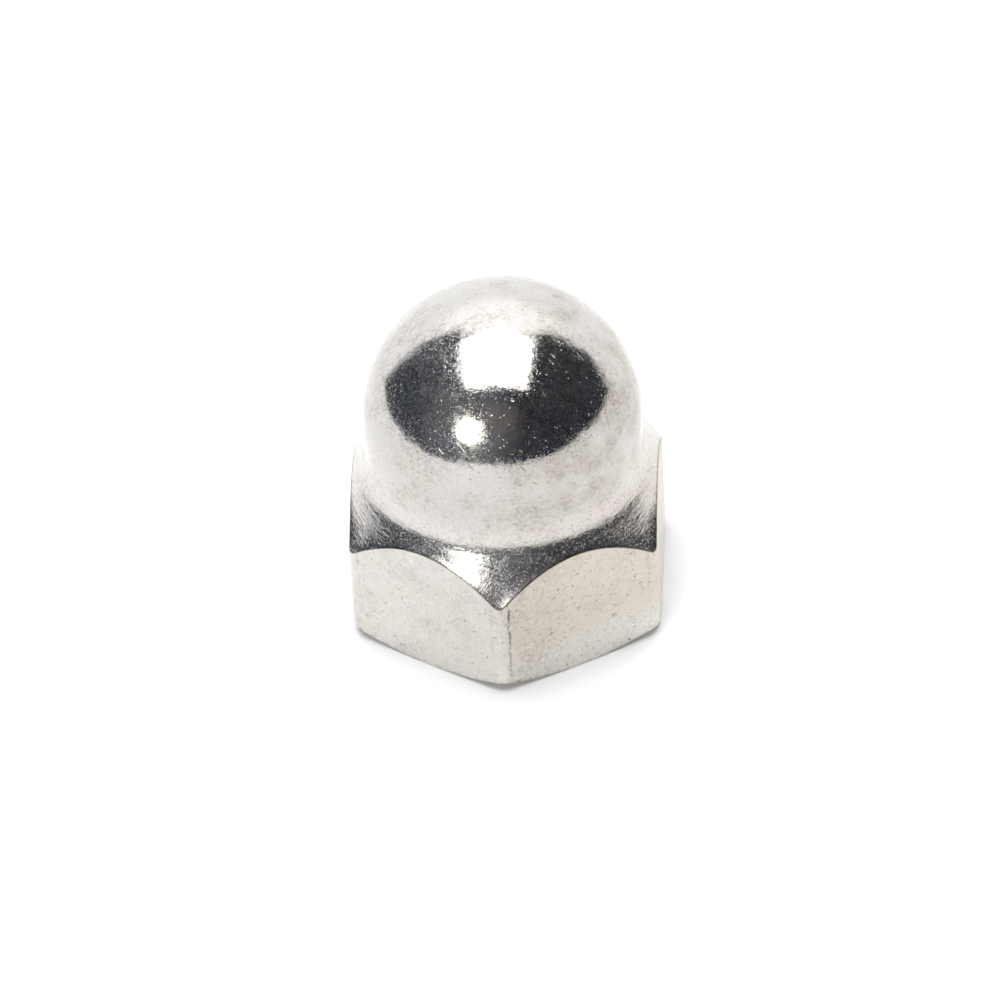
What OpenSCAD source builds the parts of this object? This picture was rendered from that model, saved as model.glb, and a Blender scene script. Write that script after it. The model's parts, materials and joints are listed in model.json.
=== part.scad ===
// High domed cap nut (acorn nut): a hexagon and a closed dome made in one piece,
// with a blind threaded hole that opens at the bearing face.
//
// Millimetres. The origin is the middle of the bearing face, +Z runs along the
// thread axis towards the top of the dome, and two corners of the hexagon lie on
// the Y axis. The hole is shown at the thread's minor diameter.

/* [Overall] */
// Width of the hexagon across its flats
across_flats = 13; // [10:0.1:24]
// Height from the bearing face to the top of the dome
height = 15; // [12:0.1:30]

/* [Hexagon] */
// Radius on the six upright corners
corner_round = 0.8; // [0.1:0.05:2]
// How far the rim of the round bearing face lies inside the flats
bearing_inset = 0.05; // [0:0.05:0.6]
// Rise of the chamfer under the six corners, in degrees from the bearing face
base_chamfer_angle = 27; // [15:1:45]

/* [Shoulder] */
// Slope of the conical shoulder, in degrees from the bearing face
shoulder_angle = 58; // [30:1:75]
// Radius that blends the shoulder into the side of the dome
shoulder_blend = 2; // [0.2:0.1:5]

/* [Dome] */
// How far the side of the dome lies inside the flats
dome_inset = 0.575; // [0.2:0.025:1.5]
// Straight side between the shoulder and the start of the dome's sphere
neck_height = 2; // [0.5:0.1:4]

/* [Threaded hole] */
// Nominal diameter of the thread
thread_d = 8; // [4:0.1:9.6]
// Pitch of the thread
thread_pitch = 1.25; // [0.5:0.05:1.75]
// How much wider the countersunk mouth is than the thread
mouth_extra = 0.75; // [0.1:0.05:1]
// Full angle of the countersink at the mouth, in degrees
mouth_angle = 120; // [60:1:150]
// Full angle of the drill point at the closed end, in degrees
drill_angle = 118; // [90:1:150]
// Metal left between the drill point and the top of the dome
crown = 2; // [1:0.1:4]

/* [Hidden] */
$fn = 96;

// What the minor diameter of a 60 degree thread loses on the nominal one, per millimetre of pitch
MINOR_LOSS_PER_PITCH = 1.0825;
// How far a cutting shape runs past the face it cuts
CUT = 1;
// Angle at which a rounding runs into the face beside it, so that the two cross cleanly
MEET = 2;
HEX_SIDES = 6;

hex_r = across_flats / 2;
// From the axis to a corner of the hexagon, before the corner is rounded
sharp_corner_r = hex_r / cos(30);
// From the axis to the centre of a corner's rounding, and half a flat's straight width
round_centre_r = (hex_r - corner_round * cos(MEET)) / cos(30);
flat_half = round_centre_r / 2;

bearing_r = hex_r - bearing_inset;
base_chamfer_rise = (sharp_corner_r + CUT - bearing_r) * tan(base_chamfer_angle);

dome_r = hex_r - dome_inset;
dome_centre_z = height - dome_r;
shoulder_top_z = dome_centre_z - neck_height;
// Where the shoulder's cone would pass outside the corners
shoulder_low_z = shoulder_top_z - (sharp_corner_r + CUT - dome_r) * tan(shoulder_angle);

// The blend turns from the upright neck to the shoulder and may use the whole neck
blend_turn = 90 - shoulder_angle;
blend_r = min(shoulder_blend, neck_height / tan(blend_turn / 2));
blend_reach = blend_r * cos(MEET);
blend_centre = [dome_r + blend_reach, shoulder_top_z + blend_reach * tan(blend_turn / 2)];
blend_foot = blend_centre - blend_reach * [cos(blend_turn), sin(blend_turn)];

thread_minor_r = (thread_d - MINOR_LOSS_PER_PITCH * thread_pitch) / 2;
mouth_r = (thread_d + mouth_extra) / 2;
mouth_depth = (mouth_r - thread_minor_r) / tan(mouth_angle / 2);
drill_point_h = thread_minor_r / tan(drill_angle / 2);
hole_end_z = height - crown - drill_point_h;

// Hexagon kept only where a flat's bar or a corner's disc covers it, which rounds its corners
module hexagon_outline() {
    intersection() {
        rotate(180 / HEX_SIDES)
            circle(r = sharp_corner_r, $fn = HEX_SIDES);
        for (turn = [0 : 360 / HEX_SIDES : 360 - 360 / HEX_SIDES])
            rotate(turn) {
                translate([0, -flat_half])
                    square([hex_r + CUT, 2 * flat_half]);
                rotate(180 / HEX_SIDES)
                    translate([round_centre_r, 0])
                        circle(r = corner_round);
            }
    }
}

// Half section of the turned shape: base chamfer, shoulder, blend, neck and dome
module turned_section() {
    difference() {
        polygon([
            [0, 0],
            [bearing_r, 0],
            [sharp_corner_r + CUT, base_chamfer_rise],
            [sharp_corner_r + CUT, shoulder_low_z],
            blend_foot,
            blend_centre,
            [dome_r, blend_centre[1]],
            [0, blend_centre[1]]
        ]);
        translate(blend_centre)
            circle(r = blend_r);
    }
    square([dome_r, dome_centre_z]);
    intersection() {
        translate([0, dome_centre_z])
            circle(r = dome_r);
        square([dome_r + CUT, height]);
    }
}

// Blind hole: countersunk mouth, thread at its minor diameter, drill point
module threaded_hole() {
    rotate_extrude()
        polygon([
            [0, -CUT],
            [mouth_r + CUT * tan(mouth_angle / 2), -CUT],
            [thread_minor_r, mouth_depth],
            [thread_minor_r, hole_end_z],
            [0, hole_end_z + drill_point_h]
        ]);
}

module cap_nut() {
    color([0.83, 0.82, 0.79])
        difference() {
            intersection() {
                rotate_extrude()
                    turned_section();
                linear_extrude(height = height)
                    hexagon_outline();
            }
            threaded_hole();
        }
}

cap_nut();
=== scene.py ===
"""Looks of a nickel-plated high domed cap nut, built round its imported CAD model.

The nut is one closed skin: a drilled and threaded hole, the bearing face, the hexagon, the
sloped shoulder, the neck and the dome. A node tree takes a flat grid of columns (round the
axis) and rows (along the half section) and moves each point to its place by rule. Lengths
are metres, except in the plate material, where patterns and heights are millimetres.
"""
import json
import math

import bmesh
import bpy
from mathutils import Matrix, Vector


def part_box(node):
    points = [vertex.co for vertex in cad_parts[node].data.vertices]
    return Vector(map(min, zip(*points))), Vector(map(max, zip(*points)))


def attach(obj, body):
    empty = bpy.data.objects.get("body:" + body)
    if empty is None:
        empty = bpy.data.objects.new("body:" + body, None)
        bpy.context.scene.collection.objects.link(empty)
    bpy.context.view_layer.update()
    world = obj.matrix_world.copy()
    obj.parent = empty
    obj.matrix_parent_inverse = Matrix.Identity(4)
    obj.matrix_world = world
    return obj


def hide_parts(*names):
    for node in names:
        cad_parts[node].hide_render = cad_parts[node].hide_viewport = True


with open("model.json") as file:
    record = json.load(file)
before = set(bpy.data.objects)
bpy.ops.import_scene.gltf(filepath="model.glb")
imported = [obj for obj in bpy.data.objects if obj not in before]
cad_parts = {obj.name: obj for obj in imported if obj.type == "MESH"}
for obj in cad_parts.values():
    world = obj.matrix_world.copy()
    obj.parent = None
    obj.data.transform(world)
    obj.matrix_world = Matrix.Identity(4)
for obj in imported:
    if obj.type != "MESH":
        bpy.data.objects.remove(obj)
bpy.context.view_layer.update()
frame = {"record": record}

MM = 0.001

# ---------------------------------------------------------------- sizes of the nut

low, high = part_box("cap_nut")
MOUNTS = {mount["name"]: mount for mount in frame["record"]["mounts"]}

HEIGHT = high.z - low.z
HEX_R = (high.x - low.x) / 2
CORNER_ROUND = 0.8 * MM
DOME_R = HEX_R - 0.575 * MM
NECK_HEIGHT = 2.0 * MM
SHOULDER_SLOPE = math.radians(58)
SHOULDER_BLEND = 2.0 * MM
BEARING_R = HEX_R - 0.05 * MM
BASE_CHAMFER_SLOPE = math.radians(27)

PITCH = 1.25 * MM
THREAD_MINOR_R = MOUNTS["thread"]["dims"]["r_mm"] * MM
THREAD_MAJOR_R = 4.0 * MM
MOUTH_R = THREAD_MAJOR_R + 0.375 * MM
MOUTH_HALF_ANGLE = math.radians(60)
DRILL_HALF_ANGLE = math.radians(59)
CROWN = 2.0 * MM
DRILL_POINT = THREAD_MINOR_R / math.tan(DRILL_HALF_ANGLE)
HOLE_END_Z = HEIGHT - CROWN - DRILL_POINT
THREAD_END_Z = 9.6 * MM

EDGE_SOFT = 0.05 * MM
RIM_SOFT = 0.02 * MM
UNEVENNESS = 0.014 * MM
RIM_WANDER = 0.03 * MM
CORNER_TOP_ROUND = 0.5 * MM
SHOULDER_HOLLOW = 0.036
SEED = 3.0

SEAM = 0.0004 * MM
SLIVER = 0.0002 * MM
SHARP_EDGE = math.radians(38)

# ---------------------------------------------------------------- node trees as arithmetic


class Field:
    """A node socket that can be added, scaled and compared like a number."""

    def __init__(self, maker, socket):
        self.maker = maker
        self.socket = socket

    def __add__(self, other):
        return self.maker.math("ADD", self, other)

    def __sub__(self, other):
        return self.maker.math("SUBTRACT", self, other)

    def __rsub__(self, other):
        return self.maker.math("SUBTRACT", other, self)

    def __mul__(self, other):
        return self.maker.math("MULTIPLY", self, other)

    def __truediv__(self, other):
        return self.maker.math("DIVIDE", self, other)

    __radd__ = __add__
    __rmul__ = __mul__


class Maker:
    """Adds nodes to one tree and links fields or plain values into them."""

    def __init__(self, tree):
        self.tree = tree

    def node(self, kind, inputs=None, **settings):
        made = self.tree.nodes.new(kind)
        for name, value in settings.items():
            setattr(made, name, value)
        for name, value in (inputs or {}).items():
            self.feed(made.inputs[name], value)
        return made

    def feed(self, socket, value):
        if isinstance(value, Field):
            self.tree.links.new(value.socket, socket)
        else:
            socket.default_value = value

    def out(self, node, name=0):
        return Field(self, node.outputs[name])

    def math(self, operation, *values):
        made = self.node("ShaderNodeMath", operation=operation)
        for socket, value in zip(made.inputs, values):
            self.feed(socket, value)
        return self.out(made)

    def vector(self, operation, *values):
        made = self.node("ShaderNodeVectorMath", operation=operation)
        for socket, value in zip(made.inputs, values):
            self.feed(socket, value)
        scalar = operation in ("LENGTH", "DISTANCE", "DOT_PRODUCT")
        return self.out(made, "Value" if scalar else "Vector")

    def scale(self, vector, factor):
        inputs = {"Vector": vector, "Scale": factor}
        return self.out(self.node("ShaderNodeVectorMath", inputs, operation="SCALE"))

    def join(self, x, y, z):
        return self.out(self.node("ShaderNodeCombineXYZ", {"X": x, "Y": y, "Z": z}))

    def split(self, vector):
        made = self.node("ShaderNodeSeparateXYZ", {"Vector": vector})
        return [self.out(made, axis) for axis in "XYZ"]

    def clamp(self, value, lowest=0.0, highest=1.0):
        return self.math("MINIMUM", self.math("MAXIMUM", value, lowest), highest)

    def ramp(self, value, start, end):
        """0 at start, 1 at end, with a soft step between; start may be above end."""
        rising = start < end
        made = self.node(
            "ShaderNodeMapRange",
            {
                "Value": value,
                "From Min": start if rising else end,
                "From Max": end if rising else start,
                "To Min": 0.0 if rising else 1.0,
                "To Max": 1.0 if rising else 0.0,
            },
            interpolation_type="SMOOTHSTEP",
        )
        return self.out(made, "Result")


# ---------------------------------------------------------------- the nut's skin

SECTORS = 6
SECTOR_TURN = math.tau / SECTORS
HALF_SECTOR = SECTOR_TURN / 2
FLAT_COLUMNS = 30
CORNER_COLUMNS = 14
SECTOR_COLUMNS = FLAT_COLUMNS + CORNER_COLUMNS
COLUMNS = SECTORS * SECTOR_COLUMNS
ROWS_PER_PITCH = 16
CREST_ROWS, FLANK_ROWS = 4, 5
DRILL_ROWS, BORE_ROWS, MOUTH_ROWS = 8, 6, 4
BEARING_ROWS, CHAMFER_ROWS, EDGE_ROWS = 10, 5, 3
FLAT_ROWS, RIM_ROWS, SHOULDER_ROWS = 20, 5, 14
BLEND_ROWS, NECK_ROWS, DOME_ROWS = 10, 8, 64


class SectionPath:
    """The nut's half section as a chain of steps, each adding its share of radius and height.

    A step is a function of how far along it a row lies, from 0 to 1. Before its own rows it
    adds nothing, and after them its whole share, so the steps join up end to end.
    """

    def __init__(self, make, row, radius, height):
        self.make = make
        self.row = row
        self.rows = 0
        self.marks = {}
        self.radius = radius
        self.height = height

    def mark(self, name):
        """Names the row that the next step starts from."""
        self.marks[name] = self.rows

    def ease(self, along, crowd):
        """Draws rows towards both ends of a step; crowd goes from 0 to 1."""
        return along - self.make.math("SINE", along * math.tau) * (crowd / math.tau)

    def step(self, rows, share):
        along = self.make.clamp((self.row - self.rows) / rows)
        radius, height = share(along)
        self.radius = self.radius + radius
        self.height = self.height + height
        self.rows += rows

    def line(self, rows, radius, height, crowd=0.0):
        """A straight step. crowd, from 0 to 1, draws its rows towards both ends."""

        def share(along):
            eased = self.ease(along, crowd)
            return eased * radius, eased * height

        self.step(rows, share)

    def soften(self, rows, length, arriving, leaving):
        """A rounded edge that starts and ends length away from the sharp one."""

        def share(along):
            square = along * along
            return [
                along * (2 * length * a) + square * (length * (b - a))
                for a, b in zip(arriving, leaving)
            ]

        self.step(rows, share)

    def arc(self, rows, radius, start, sweep):
        """A round step about a centre, from the angle start through sweep."""

        def share(along):
            angle = along * sweep + start
            across = self.make.math("COSINE", angle) - math.cos(start)
            up = self.make.math("SINE", angle) - math.sin(start)
            return across * radius, up * radius

        self.step(rows, share)


def rounded_reach(make, off_corner, hexagon_r, corner_r):
    """Distance from the axis to a hexagon with round corners, off_corner away from one."""
    centre = (hexagon_r - corner_r) / math.cos(HALF_SECTOR)
    half_flat = (hexagon_r - corner_r) * math.tan(HALF_SECTOR)
    zone = HALF_SECTOR - make.math("ARCTAN2", half_flat, hexagon_r)
    flat = hexagon_r / make.math("COSINE", HALF_SECTOR - off_corner)
    offset = centre * make.math("SINE", off_corner)
    inside = make.clamp(corner_r * corner_r - offset * offset)
    arc = centre * make.math("COSINE", off_corner) + make.math("SQRT", inside)
    on_arc = make.math("LESS_THAN", off_corner, zone)
    return flat + (arc - flat) * on_arc


def hexagon_outline(make, column, sizes):
    """Direction of a column from the axis, its bearing, and its angle to the nearest corner."""
    sector = make.math("FLOOR", column / SECTOR_COLUMNS)
    within = column - sector * SECTOR_COLUMNS
    centre_x = sizes["Hexagon Radius"] - sizes["Corner Round"]
    half_flat = centre_x * math.tan(HALF_SECTOR)
    along = make.clamp(within / FLAT_COLUMNS) * 2 - 1
    turn = make.clamp((within - FLAT_COLUMNS) / CORNER_COLUMNS) * SECTOR_TURN
    x = centre_x + sizes["Corner Round"] * make.math("COSINE", turn)
    y = half_flat * along + sizes["Corner Round"] * make.math("SINE", turn)
    bearing = make.math("ARCTAN2", y, x) + sector * SECTOR_TURN
    off_corner = make.math("PINGPONG", bearing - HALF_SECTOR, HALF_SECTOR)
    return make.math("COSINE", bearing), make.math("SINE", bearing), bearing, off_corner


def thread_share(make, path, sizes, bearing, first_height, last_height, rows):
    """Rows that follow the thread's own helix, cut off square at both heights."""
    rise = bearing * (PITCH / math.tau)
    start = first_height + PITCH

    def share(along):
        raw = start - along * (rows * PITCH / ROWS_PER_PITCH) + rise
        height = make.clamp(raw, last_height, first_height)
        turns = (height - rise) / PITCH
        phase = make.math("FRACT", turns) * ROWS_PER_PITCH
        rising = (phase - CREST_ROWS) / FLANK_ROWS
        falling = (ROWS_PER_PITCH - phase) / FLANK_ROWS
        cut = make.clamp(make.math("MINIMUM", rising, falling))
        fade = make.ramp(height, first_height, first_height - 1.5 * PITCH)
        depth = sizes["Thread Major Radius"] - sizes["Thread Minor Radius"]
        threaded = sizes["Thread Minor Radius"] + depth * cut * fade
        cone = MOUTH_R - height * math.tan(MOUTH_HALF_ANGLE)
        radius = make.math("MAXIMUM", threaded, cone)
        return radius - sizes["Thread Minor Radius"], height - first_height

    path.step(rows, share)


def draw_section(make, row, sizes, low_reach, top_reach, bearing, wander):
    """Chains the whole half section, from the drill point round to the top of the dome."""
    tan_shoulder = math.tan(SHOULDER_SLOPE)
    shoulder_top = HEIGHT - DOME_R - NECK_HEIGHT
    rim_height = shoulder_top - (top_reach - DOME_R) * tan_shoulder + wander
    base_height = (low_reach - BEARING_R) * math.tan(BASE_CHAMFER_SLOPE)

    turn = math.pi / 2 - SHOULDER_SLOPE
    tangent = SHOULDER_BLEND * math.tan(turn / 2)
    foot_r = DOME_R + tangent * math.cos(SHOULDER_SLOPE)
    foot_z = shoulder_top - tangent * math.sin(SHOULDER_SLOPE)
    neck_start = shoulder_top + tangent

    mouth_in = 0.2 * MM
    mouth_in_r = MOUTH_R - mouth_in * math.tan(MOUTH_HALF_ANGLE)
    mouth_way = (math.sin(MOUTH_HALF_ANGLE), -math.cos(MOUTH_HALF_ANGLE))
    outwards = (1.0, 0.0)
    chamfer_way = (math.cos(BASE_CHAMFER_SLOPE), math.sin(BASE_CHAMFER_SLOPE))
    upwards = (0.0, 1.0)
    shoulder_way = (-math.cos(SHOULDER_SLOPE), math.sin(SHOULDER_SLOPE))

    path = SectionPath(make, row, row * 0.0, row * 0.0 + (HOLE_END_Z + DRILL_POINT))
    path.line(DRILL_ROWS, THREAD_MINOR_R, -DRILL_POINT)
    path.line(BORE_ROWS, 0.0, THREAD_END_Z - HOLE_END_Z, crowd=0.9)
    turns = math.ceil((THREAD_END_Z - mouth_in) / PITCH) + 2
    thread_share(make, path, sizes, bearing, THREAD_END_Z, mouth_in, turns * ROWS_PER_PITCH)
    path.line(
        MOUTH_ROWS,
        MOUTH_R - mouth_in_r - RIM_SOFT * mouth_way[0],
        -mouth_in - RIM_SOFT * mouth_way[1],
    )
    path.soften(EDGE_ROWS, RIM_SOFT, mouth_way, outwards)
    path.mark("outside")
    path.line(BEARING_ROWS, BEARING_R - MOUTH_R - 2 * RIM_SOFT, 0.0, crowd=0.9)
    path.soften(EDGE_ROWS, RIM_SOFT, outwards, chamfer_way)
    path.line(
        CHAMFER_ROWS,
        low_reach - (BEARING_R + 2 * RIM_SOFT * chamfer_way[0]),
        base_height - 2 * RIM_SOFT * chamfer_way[1],
    )
    path.mark("flats")
    path.soften(EDGE_ROWS, RIM_SOFT, chamfer_way, upwards)

    # The corner narrows towards its top, where the shoulder die pressed it sharp.
    flat_height = rim_height - base_height - (RIM_SOFT + EDGE_SOFT)

    def up_the_flat(along):
        eased = path.ease(along, 0.9)
        return (top_reach - low_reach) * make.ramp(eased, 0.62, 0.97), eased * flat_height

    path.step(FLAT_ROWS, up_the_flat)
    path.mark("shoulder")
    path.soften(RIM_ROWS, EDGE_SOFT, upwards, shoulder_way)

    # Towards the corners the pressed shoulder is a little hollow.
    sag = (top_reach - foot_r) * SHOULDER_HOLLOW
    run = foot_r - top_reach - EDGE_SOFT * shoulder_way[0]
    rise = foot_z - rim_height - EDGE_SOFT * shoulder_way[1]

    def up_the_shoulder(along):
        eased = path.ease(along, 0.85)
        hollow = eased * (1 - eased) * (1 - eased) * sag * 6.75
        return eased * run - hollow * shoulder_way[1], eased * rise + hollow * shoulder_way[0]

    path.step(SHOULDER_ROWS, up_the_shoulder)
    path.arc(BLEND_ROWS, SHOULDER_BLEND, math.pi + turn, -turn)
    path.mark("dome")
    path.line(NECK_ROWS, 0.0, HEIGHT - DOME_R - neck_start, crowd=0.7)
    path.arc(DOME_ROWS, DOME_R, 0.0, math.pi / 2)
    return path, rim_height, base_height


def skin_tree(material):
    """The node tree that lays the whole skin, with its sizes as named inputs."""
    tree = bpy.data.node_groups.new("cap_nut_skin", "GeometryNodeTree")
    make = Maker(tree)
    new_socket = tree.interface.new_socket
    sockets = {}
    for name in (
        "Hexagon Radius",
        "Corner Round",
        "Corner Top Round",
        "Rim Wander",
        "Thread Major Radius",
        "Thread Minor Radius",
        "Unevenness",
        "Seed",
    ):
        sockets[name] = new_socket(name, in_out="INPUT", socket_type="NodeSocketFloat")
    new_socket("Geometry", in_out="OUTPUT", socket_type="NodeSocketGeometry")
    given = tree.nodes.new("NodeGroupInput")
    sizes = {name: make.out(given, name) for name in sockets}

    # The path is laid first, because it counts the rows that the grid has to have. Half of
    # that count is then added to the grid's own y, which runs from minus half to half.
    grid_place = make.node("GeometryNodeInputPosition")
    grid_x, grid_y, _ = make.split(make.out(grid_place))
    column = make.math("ROUND", grid_x + COLUMNS / 2)
    row_shift = make.node("ShaderNodeMath", operation="ADD")
    make.feed(row_shift.inputs[0], grid_y)
    row = make.math("ROUND", make.out(row_shift))
    across, up, bearing, off_corner = hexagon_outline(make, column, sizes)
    hexagon_r = sizes["Hexagon Radius"]
    low_reach = rounded_reach(make, off_corner, hexagon_r, sizes["Corner Round"])
    top_reach = rounded_reach(make, off_corner, hexagon_r, sizes["Corner Top Round"])
    ragged = make.node(
        "ShaderNodeTexNoise",
        {"Vector": make.join(across, up, 0.0), "W": sizes["Seed"], "Scale": 6.0, "Detail": 2.0},
        noise_dimensions="4D",
    )
    wander = (make.out(ragged, "Fac") - 0.5) * sizes["Rim Wander"]
    path, rim_height, base_height = draw_section(
        make, row, sizes, low_reach, top_reach, bearing, wander
    )
    row_shift.inputs[1].default_value = path.rows / 2

    grid = make.node(
        "GeometryNodeMeshGrid",
        {
            "Size X": float(COLUMNS),
            "Size Y": float(path.rows),
            "Vertices X": COLUMNS + 1,
            "Vertices Y": path.rows + 1,
        },
    )
    away = path.radius - top_reach
    over = path.height - rim_height
    under = path.height - base_height
    to_rim = make.math("SQRT", away * away + over * over)
    to_base = make.math("SQRT", away * away + under * under)
    to_corner = path.radius * make.math("SINE", off_corner)
    marks = path.marks
    on_flats = make.ramp(row, marks["flats"] - 1.0, marks["flats"] + 1.0) * make.ramp(
        row, marks["shoulder"] + 3.0, marks["shoulder"] + 1.0
    )
    on_shoulder = make.ramp(row, marks["shoulder"] + 1.0, marks["shoulder"] + 3.0) * make.ramp(
        row, marks["dome"] + 6.0, marks["dome"] - 4.0
    )
    on_dome = make.ramp(row, marks["dome"] - 4.0, marks["dome"] + 6.0)

    shape = make.out(grid, "Mesh")
    for name, value in (
        ("to_rim", to_rim / MM),
        ("to_base", to_base / MM),
        ("to_corner", to_corner / MM),
        ("on_flats", on_flats),
        ("on_shoulder", on_shoulder),
        ("on_dome", on_dome),
    ):
        stored = make.node(
            "GeometryNodeStoreNamedAttribute",
            {"Geometry": shape, "Name": name, "Value": value},
            data_type="FLOAT",
            domain="POINT",
        )
        shape = make.out(stored, "Geometry")

    place = make.join(across * path.radius, up * path.radius, path.height)
    placed = make.node("GeometryNodeSetPosition", {"Geometry": shape, "Position": place})
    merged = make.node(
        "GeometryNodeMergeByDistance",
        {"Geometry": make.out(placed, "Geometry"), "Distance": SEAM},
    )

    # The die and the barrel leave the outside very slightly uneven.
    position = make.out(make.node("GeometryNodeInputPosition"))
    where = make.scale(position, 1 / MM)
    swell = make.node(
        "ShaderNodeTexNoise",
        {"Vector": where, "W": sizes["Seed"], "Scale": 0.6, "Detail": 2.0},
        noise_dimensions="4D",
    )
    facing = make.out(make.node("GeometryNodeInputNormal"))
    amount = (make.out(swell, "Fac") - 0.5) * 2 * sizes["Unevenness"]
    px, py, pz = make.split(position)
    radius = make.math("SQRT", px * px + py * py)
    skin_only = make.ramp(radius + pz * 0.6, 5.6 * MM, 6.6 * MM)
    above = make.ramp(pz, 0.1 * MM, 0.8 * MM)
    offset = make.scale(facing, amount * skin_only * above)

    shape = make.out(merged, "Geometry")
    for kind, inputs in (
        ("GeometryNodeSetPosition", {"Offset": offset}),
        ("GeometryNodeSetShadeSmooth", {}),
        ("GeometryNodeRealizeInstances", {}),
        ("GeometryNodeSetMaterial", {"Material": material}),
    ):
        shape = make.out(make.node(kind, {"Geometry": shape, **inputs}), "Geometry")
    result = tree.nodes.new("NodeGroupOutput")
    tree.links.new(shape.socket, result.inputs["Geometry"])
    return tree, {name: socket.identifier for name, socket in sockets.items()}


def grow(name, tree, identifiers, values):
    """Runs a tree on an empty mesh and returns its result as a plain mesh object."""
    seed = bpy.data.objects.new(name + "_seed", bpy.data.meshes.new(name + "_seed"))
    bpy.context.scene.collection.objects.link(seed)
    modifier = seed.modifiers.new(name, "NODES")
    modifier.node_group = tree
    for label, value in values.items():
        modifier[identifiers[label]] = value
    evaluated = seed.evaluated_get(bpy.context.evaluated_depsgraph_get())
    mesh = bpy.data.meshes.new_from_object(evaluated)
    seed.modifiers.remove(modifier)
    bpy.data.objects.remove(seed)
    mesh.name = name
    made = bpy.data.objects.new(name, mesh)
    bpy.context.scene.collection.objects.link(made)
    return made


def close_and_face_outwards(piece):
    """Merges what is left open at the seams, turns every face outwards, keeps crests crisp."""
    work = bmesh.new()
    work.from_mesh(piece.data)
    bmesh.ops.remove_doubles(work, verts=work.verts, dist=SEAM)
    bmesh.ops.dissolve_degenerate(work, edges=work.edges, dist=SLIVER)
    bmesh.ops.recalc_face_normals(work, faces=work.faces)
    for edge in work.edges:
        edge.smooth = not (edge.is_manifold and edge.calc_face_angle(0.0) > SHARP_EDGE)
    work.to_mesh(piece.data)
    work.free()


def make_nut(material):
    tree, identifiers = skin_tree(material)
    values = {
        "Hexagon Radius": HEX_R,
        "Corner Round": CORNER_ROUND,
        "Corner Top Round": CORNER_TOP_ROUND,
        "Rim Wander": RIM_WANDER,
        "Thread Major Radius": THREAD_MAJOR_R,
        "Thread Minor Radius": THREAD_MINOR_R,
        "Unevenness": UNEVENNESS,
        "Seed": SEED,
    }
    nut = grow("nut", tree, identifiers, values)
    close_and_face_outwards(nut)
    return nut


# ---------------------------------------------------------------- materials

CLEAN = (0.640, 0.615, 0.583, 1.0)
STRAW = (0.588, 0.544, 0.480, 1.0)
SATIN = (0.560, 0.542, 0.515, 1.0)
DARKER_GREY = (0.440, 0.412, 0.370, 1.0)
# The lighter colour below is painted light, for the foot of the flats.
PAINTED_FOOT_LIGHT = (0.720, 0.700, 0.655, 1.0)
BROWN = (0.270, 0.205, 0.135, 1.0)
# The darkest colour below is soot on the corners and painted shade along the shoulder's rim.
SOOT_AND_SHADE = (0.110, 0.095, 0.075, 1.0)

BARE_ROUGHNESS = 0.045
FLATS_ROUGHNESS = 0.22

# Heights and depths of the marks, in millimetres.
SWELL_HEIGHT = 0.006
GRAIN_HEIGHT = 0.0030
MOTTLE_HEIGHT = 0.0012
DUST_HEIGHT = 0.0007
SMALL_PIT_DEPTH = 0.0012
BIG_PIT_DEPTH = 0.0020
SCRATCH_DEPTH = 0.007
STREAK_HEIGHT = 0.013
RIPPLE_HEIGHT = 0.009
SHOULDER_PEAKS = 0.0032
DOME_PEAKS = 0.0022


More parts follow.
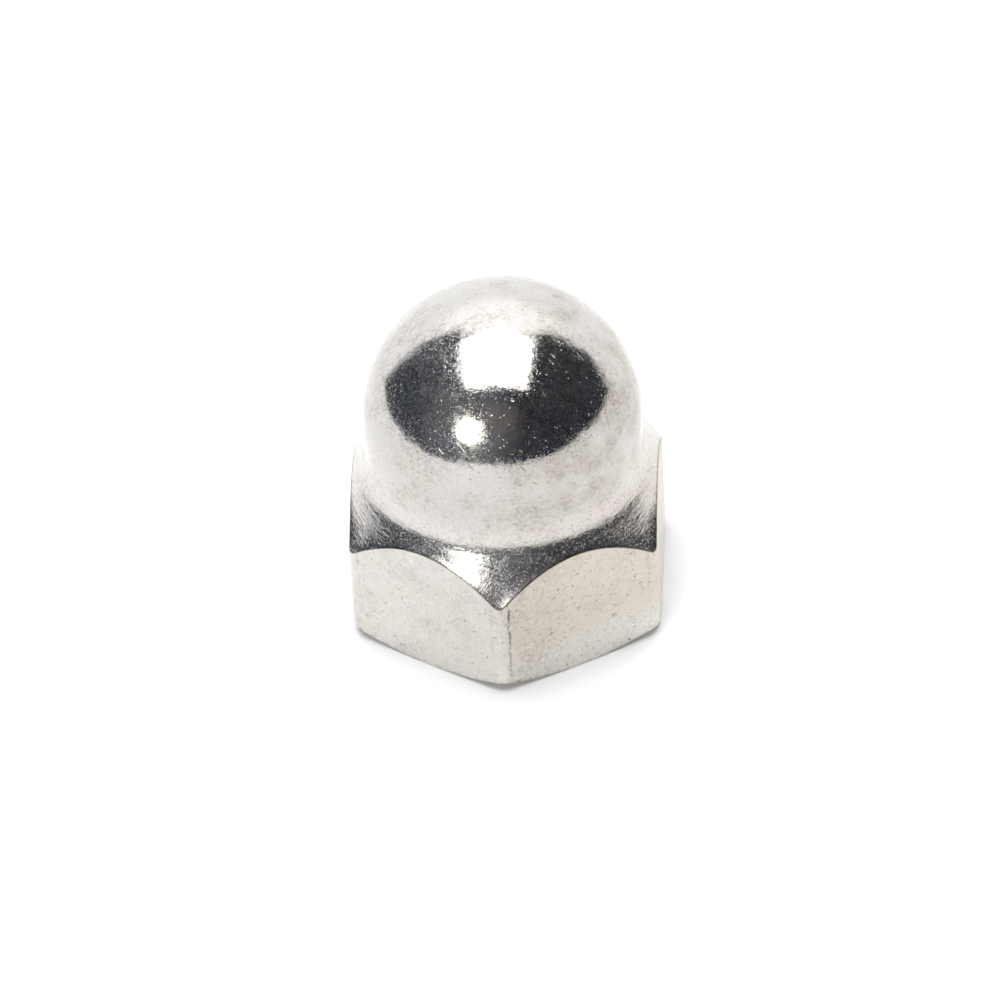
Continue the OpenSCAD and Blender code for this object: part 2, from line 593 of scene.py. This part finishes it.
def nickel_plate():
    """Barrel-plated nickel, handled for years: bright, finely pitted, scratched and stained."""
    material = bpy.data.materials.new("nickel_plate")
    material.use_nodes = True
    tree = material.node_tree
    make = Maker(tree)
    shader = tree.nodes["Principled BSDF"]
    place = make.out(make.node("ShaderNodeTexCoord"), "Object")
    where = make.scale(place, 1 / MM)
    x, y, z = make.split(where)

    def noise(scale, detail=2.0, roughness=0.5, shift=0.0):
        """Noise of so many bumps a millimetre, from 0 to 1; shift tells patterns apart."""
        vector = make.vector("ADD", where, (shift, shift * 1.7, -shift))
        made = make.node(
            "ShaderNodeTexNoise",
            {"Vector": vector, "Scale": scale, "Detail": detail, "Roughness": roughness},
        )
        return make.out(made, "Fac")

    def attribute(name):
        made = make.node("ShaderNodeAttribute", attribute_name=name)
        return make.out(made, "Fac")

    def pits(scale, size, share, shift=0.0):
        """Round pits scattered in a share of the cells, 1 at the middle of each."""
        vector = make.vector("ADD", where, (shift, -shift, shift))
        made = make.node("ShaderNodeTexVoronoi", {"Vector": vector, "Scale": scale})
        chance = make.split(make.out(made, "Color"))[0]
        picked = make.ramp(chance, 1 - share, 1 - share + 0.1)
        return make.ramp(make.out(made, "Distance"), size, 0.0) * picked

    def scratches(turn, length, width, share, shift=0.0):
        """Fine dashes that all run one way: long cells, each with a dark line across it."""
        mapped = make.node(
            "ShaderNodeMapping",
            {"Vector": where, "Location": (shift, shift, shift), "Rotation": turn},
        )
        thin = 1 / (5 * width)
        squeezed = make.vector("MULTIPLY", make.out(mapped), (1 / length, thin, thin))
        made = make.node("ShaderNodeTexVoronoi", {"Vector": squeezed, "Scale": 1.0})
        chance = make.split(make.out(made, "Color"))[1]
        picked = make.ramp(chance, 1 - share, 1 - share + 0.05)
        return make.ramp(make.out(made, "Distance"), 0.28, 0.10) * picked

    on_flats = attribute("on_flats")
    on_shoulder = attribute("on_shoulder")
    on_dome = attribute("on_dome")
    to_rim = attribute("to_rim")
    to_base = attribute("to_base")
    to_corner = attribute("to_corner")

    def ridge(value, half_width):
        """Thin winding lines where a noise passes its middle."""
        return make.ramp(make.math("ABSOLUTE", value - 0.5), half_width, 0.0)

    patches = noise(0.7, 4.0, 0.6, 4.0)
    grain = noise(5.0, 3.0, 0.6, 11.0)
    dust = noise(11.0, 2.0, 0.6, 23.0)
    hazy = make.ramp(noise(0.40, 3.0, 0.55, 31.0), 0.42, 0.60)
    mottle = make.ramp(noise(2.6, 4.0, 0.65, 37.0), 0.40, 0.66)
    small_pits = pits(5.0, 0.36, 0.03)
    big_pits = pits(2.6, 0.20, 0.20, 5.0)
    dashes = (
        scratches((0.0, 0.0, 0.35), 1.3, 0.026, 0.07, 1.0)
        + scratches((0.0, 0.75, 0.1), 1.1, 0.024, 0.08, 2.0)
        + scratches((0.1, -0.8, 0.4), 1.2, 0.024, 0.11, 3.0)
        + scratches((0.9, 0.2, 1.3), 0.9, 0.030, 0.11, 4.0)
        + scratches((0.4, -0.5, -0.5), 1.8, 0.034, 0.12, 6.0)
    )
    scored = make.clamp(dashes)

    # Stains settle in patches and veins, in the pits and along the corners. The line along the
    # shoulder's rim is partly brown stain and partly painted shade.
    cloudy = make.ramp(patches, 0.46, 0.66) * make.ramp(grain, 0.38, 0.60)
    veins = ridge(noise(1.5, 4.0, 0.7, 83.0), 0.035) * make.ramp(patches, 0.44, 0.58)
    specks = make.ramp(noise(6.0, 3.0, 0.7, 47.0), 0.58, 0.70)
    dots = pits(3.6, 0.24, 0.16, 9.0)
    right_side = make.ramp(x, -1.0, 4.0)
    warmth = right_side * 0.6 + make.ramp(x, -0.5, 1.0) * on_flats * 0.5 + patches * 0.3 - 0.1
    ragged = noise(4.0, 3.0, 0.6, 53.0)
    band_edge = to_corner + (noise(2.6, 5.0, 0.75, 57.0) - 0.5) * 0.36
    corner_band = make.ramp(band_edge, 0.30, 0.34) * make.ramp(band_edge, 0.44, 0.37)
    corner_ticks = corner_band * make.ramp(noise(2.3, 4.0, 0.7, 59.0), 0.45, 0.52) * on_flats
    # A dark line along the shoulder's rim: partly brown stain, partly painted shade for the dark
    # room reflected in the rounded edge.
    rim_stain_and_painted_shade = make.ramp(to_rim + (ragged - 0.5) * 0.16, 0.13, 0.05) * on_shoulder
    worn_corner = make.ramp(x, -0.05, 0.15) * make.ramp(y, -6.0, -6.8) * 0.8 + 0.2
    foot_line = make.ramp(to_base, 0.22, 0.02) * make.ramp(ragged, 0.45, 0.6)
    stain = cloudy * (on_dome * 0.10 + 0.16) + veins * (on_dome * 0.24 + 0.06)
    stain = stain + specks * (on_flats * 0.25 + 0.35) + dots * 0.35 + scored * 0.25
    stain = stain + rim_stain_and_painted_shade * 0.2 + foot_line * 0.3 + right_side * specks * 0.3
    # Darker brown, in grains, on the right flat beside the front corner.
    front_right = make.ramp(x, 0.10, 0.35) * make.ramp(y, -5.6, -6.6) * on_flats
    stain = stain + front_right * make.ramp(grain, 0.30, 0.60) * 0.16
    stained = make.clamp(stain + big_pits * 0.15)

    def tint(under, over, share):
        """Lays one colour over another; a colour mix has its own sockets, 6 and 7 in, 2 out."""
        mixed = make.node("ShaderNodeMix", data_type="RGBA")
        for number, value in ((0, share), (6, under), (7, over)):
            make.feed(mixed.inputs[number], value)
        return make.out(mixed, 2)

    # Warmer towards the right (+x) below the dome, and darker in patches on the dome's right.
    plate = tint(tint(CLEAN, SATIN, on_dome), STRAW, make.clamp(warmth) * (1 - on_dome))
    plate = tint(plate, DARKER_GREY, on_dome * right_side * make.ramp(patches, 0.30, 0.60) * 0.75)
    worn = make.ramp(noise(3.2, 5.0, 0.75, 91.0), 0.46, 0.72)
    plate = tint(plate, DARKER_GREY, worn * (on_flats * 0.10 + 0.12))
    # Painted light: the flats are painted lighter towards their foot, against the shade of the
    # floor they reflect there.
    plate = tint(plate, PAINTED_FOOT_LIGHT, on_flats * make.ramp(z, 3.0, 0.3) * 0.9)
    colour = tint(plate, BROWN, stained)
    up_the_corner = make.ramp(z, 0.5, 4.5) * 0.6 + 0.3
    colour = tint(colour, SOOT_AND_SHADE, corner_ticks * worn_corner * up_the_corner)
    # Painted shade: the dark line along the shoulder's rim stands for the dark room reflected in
    # the rounded edge.
    colour = tint(colour, SOOT_AND_SHADE, rim_stain_and_painted_shade * 0.65)
    make.feed(shader.inputs["Base Color"], colour)

    # A thin dull film scatters a little light, most where the plate is least handled.
    leftwards = make.ramp(x, 1.0, -3.0) * 0.5 + 0.5
    grime = make.ramp(dust, 0.42, 0.62) * 0.70 + make.ramp(grain, 0.40, 0.62) * 0.35 + hazy * 0.20
    film = grime * (on_dome * leftwards * 0.11 + on_shoulder * 0.11 + on_flats * 0.05)
    make.feed(shader.inputs["Metallic"], 1 - make.clamp(film))

    smeared = hazy * mottle * leftwards * 0.16 + mottle * 0.05 + make.ramp(dust, 0.46, 0.72) * 0.09
    fine = on_flats * FLATS_ROUGHNESS + on_shoulder * (make.ramp(dust, 0.40, 0.60) * 0.06 + 0.02)
    rough = fine + BARE_ROUGHNESS + smeared + stained * 0.10
    make.feed(shader.inputs["Roughness"], make.clamp(rough, 0.05, 0.7))

    pitted = small_pits * SMALL_PIT_DEPTH + big_pits * BIG_PIT_DEPTH
    height = (
        noise(1.3, 2.0, 0.5, 61.0) * SWELL_HEIGHT
        + grain * GRAIN_HEIGHT
        + mottle * MOTTLE_HEIGHT
        + dust * DUST_HEIGHT
        - pitted * (1 - on_flats * 0.85)
        - scored * SCRATCH_DEPTH
    )
    # Turning marks: short strokes round the axis, where the shoulder was pressed.
    radius = make.math("SQRT", x * x + y * y)
    round_about = make.join(x / radius * 9.0, y / radius * 9.0, z * 8.0)
    streaks = make.node("ShaderNodeTexNoise", {"Vector": round_about, "Scale": 1.0, "Detail": 2.0})
    at_sides = make.ramp(make.math("ABSOLUTE", x), 2.0, 5.5) * 0.7 + 0.3
    ripples = noise(5.5, 4.0, 0.7, 71.0)
    flow = make.out(streaks, "Fac") * at_sides * STREAK_HEIGHT + ripples * RIPPLE_HEIGHT
    peaks = make.ramp(noise(11.5, 3.0, 0.7, 67.0), 0.55, 0.71)
    peak_height = on_shoulder * SHOULDER_PEAKS + on_dome * leftwards * DOME_PEAKS
    height = height + flow * on_shoulder + peaks * peak_height
    relief = make.node("ShaderNodeBump", {"Height": height, "Distance": MM, "Strength": 1.0})
    make.feed(shader.inputs["Normal"], make.out(relief, "Normal"))
    return material


# ---------------------------------------------------------------- studio

CAMERA_AT = Vector((0.0271, -0.3485, 0.3114))
CAMERA_RIGHT = Vector((0.99826, 0.041785, -0.041608))
CAMERA_UP = Vector((0.003585, 0.661293, 0.750119))
CAMERA_LENS = 395.0
FLOOR_REACH = 3.0
FLOOR_LEFT = 0.10
FLOOR_DROP = 0.005 * MM
FLOOR_GREY = (0.85, 0.85, 0.85, 1)

ROOM_COLOUR = (0.026, 0.033, 0.049)
HAZE_COLOUR = (0.92, 0.97, 1.0)
HAZE_STRENGTH = 0.12
WARM_COLOUR = (1.0, 0.55, 0.42)
WARM_STRENGTH = 0.07
SHEET_COLOUR = (0.985, 0.99, 1.0)
SHEET_STRENGTH = 1.36
PANEL_COLOUR = (1.0, 1.0, 1.0)
PANEL_STRENGTH = 4.8
LAMP_COLOUR = (1.0, 1.0, 0.98)
LAMP_STRENGTH = 7.0
BELOW_COLOUR = (1.0, 1.0, 1.0)
BELOW_STRENGTH = 1.1
SEEN_WHITE = (1.1, 1.1, 1.1)
FILL_ENERGY = 0.52


def place_camera():
    data = bpy.data.cameras.new("camera")
    data.lens = CAMERA_LENS
    data.sensor_width = 36.0
    data.clip_start = 0.01
    data.clip_end = 20.0
    camera = bpy.data.objects.new("camera", data)
    bpy.context.scene.collection.objects.link(camera)
    back = CAMERA_RIGHT.cross(CAMERA_UP).normalized()
    turn = Matrix((CAMERA_RIGHT, CAMERA_UP, back)).transposed()
    camera.matrix_world = Matrix.Translation(CAMERA_AT) @ turn.to_4x4()
    bpy.context.scene.camera = camera


def way_towards(turn, rise):
    """Unit direction so many degrees to the right of the front and up from the floor."""
    turn, rise = math.radians(turn), math.radians(rise)
    return (
        math.sin(turn) * math.cos(rise),
        -math.cos(turn) * math.cos(rise),
        math.sin(rise),
    )


def studio_surroundings():
    """Dark room in front, white sheet behind, a panel overhead and one round lamp."""
    world = bpy.data.worlds.new("studio")
    bpy.context.scene.world = world
    world.use_nodes = True
    make = Maker(world.node_tree)
    facing = make.out(make.node("ShaderNodeTexCoord"), "Generated")
    way = make.vector("NORMALIZE", facing)
    x, y, z = make.split(way)

    # The sheet stands behind, and reaches further forward overhead and low on the right.
    right_low = make.ramp(z, 0.35, 0.0) * make.ramp(x, 0.2, 0.9)
    sheet_edge = 0.50 - right_low * 0.14 - make.ramp(z, 0.72, 0.90) * 0.12
    sheet = make.ramp(y - sheet_edge, -0.05, 0.05)
    # The panel is a rectangle overhead, laid out where each direction meets its plane.
    upward = make.math("MAXIMUM", z, 0.05)
    forwards = y / upward
    sideways = make.math("ABSOLUTE", x / upward + 0.05) / 0.485
    panel = make.ramp(sideways, 1.08, 0.96)
    panel = panel * make.ramp(forwards, -0.52, -0.42) * make.ramp(forwards, 0.43, 0.37)
    panel = panel * make.ramp(z, 0.2, 0.3)
    toward = make.vector("DOT_PRODUCT", way, way_towards(-26.5, 25))
    lamp = make.ramp(toward, math.cos(math.radians(12)), math.cos(math.radians(8)))
    lamp_haze = make.ramp(toward, math.cos(math.radians(50)), math.cos(math.radians(10)))
    below = make.ramp(z + make.ramp(x, -0.4, -0.8) * 0.13, 0.0, -0.02) * (1 - sheet)
    warm_way = make.vector("DOT_PRODUCT", way, way_towards(5, 38))
    warm_spot = make.ramp(warm_way, math.cos(0.30), math.cos(0.12))

    room = 1.40 - make.ramp(x, -0.1, 0.4) * 0.65
    sheet_share = sheet * (make.ramp(z, 0.3, 0.7) * 0.35 + 1.0)
    light = make.scale(ROOM_COLOUR, room)
    for colour, strength, share in (
        (HAZE_COLOUR, HAZE_STRENGTH, lamp_haze),
        (WARM_COLOUR, WARM_STRENGTH, warm_spot),
        (SHEET_COLOUR, SHEET_STRENGTH, sheet_share),
        (PANEL_COLOUR, PANEL_STRENGTH, panel),
        (LAMP_COLOUR, LAMP_STRENGTH, lamp),
        (BELOW_COLOUR, BELOW_STRENGTH, below),
    ):
        light = make.vector("ADD", light, make.scale(make.scale(colour, strength), share))
    camera_ray = make.out(make.node("ShaderNodeLightPath"), "Is Camera Ray")
    lit = make.scale(light, 1 - camera_ray)
    shown = make.vector("ADD", lit, make.scale(SEEN_WHITE, camera_ray))
    background = world.node_tree.nodes["Background"]
    make.feed(background.inputs["Color"], shown)


def fill_the_front():
    """A weak, wide light from the front that softens the shadow at the nut's foot."""
    data = bpy.data.lights.new("front_fill", "AREA")
    data.shape = "RECTANGLE"
    data.size = 0.5
    data.size_y = 0.3
    data.energy = FILL_ENERGY
    light = bpy.data.objects.new("front_fill", data)
    bpy.context.scene.collection.objects.link(light)
    light.location = (-0.05, -0.5, 0.30)
    light.rotation_euler = (-light.location).to_track_quat("-Z", "Y").to_euler()
    light.visible_glossy = False
    light.visible_camera = False


def lay_floor():
    """A pale floor just under the nut, cut short on the left, where the table ends."""
    height = low.z - FLOOR_DROP
    bpy.ops.mesh.primitive_plane_add(size=2 * FLOOR_REACH, location=(0, 0, height))
    floor = bpy.context.active_object
    floor.name = "floor"
    for corner in floor.data.vertices:
        corner.co.x = max(corner.co.x, -FLOOR_LEFT)
    material = bpy.data.materials.new("pale_floor")
    material.use_nodes = True
    shader = material.node_tree.nodes["Principled BSDF"]
    shader.inputs["Base Color"].default_value = FLOOR_GREY
    shader.inputs["Roughness"].default_value = 0.6
    shader.inputs["Specular IOR Level"].default_value = 0.1
    floor.data.materials.append(material)


scene = bpy.context.scene
scene.view_settings.view_transform = "Standard"
scene.view_settings.look = "None"

place_camera()
studio_surroundings()
fill_the_front()
lay_floor()

nut = make_nut(nickel_plate())
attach(nut, "root")
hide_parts("cap_nut")
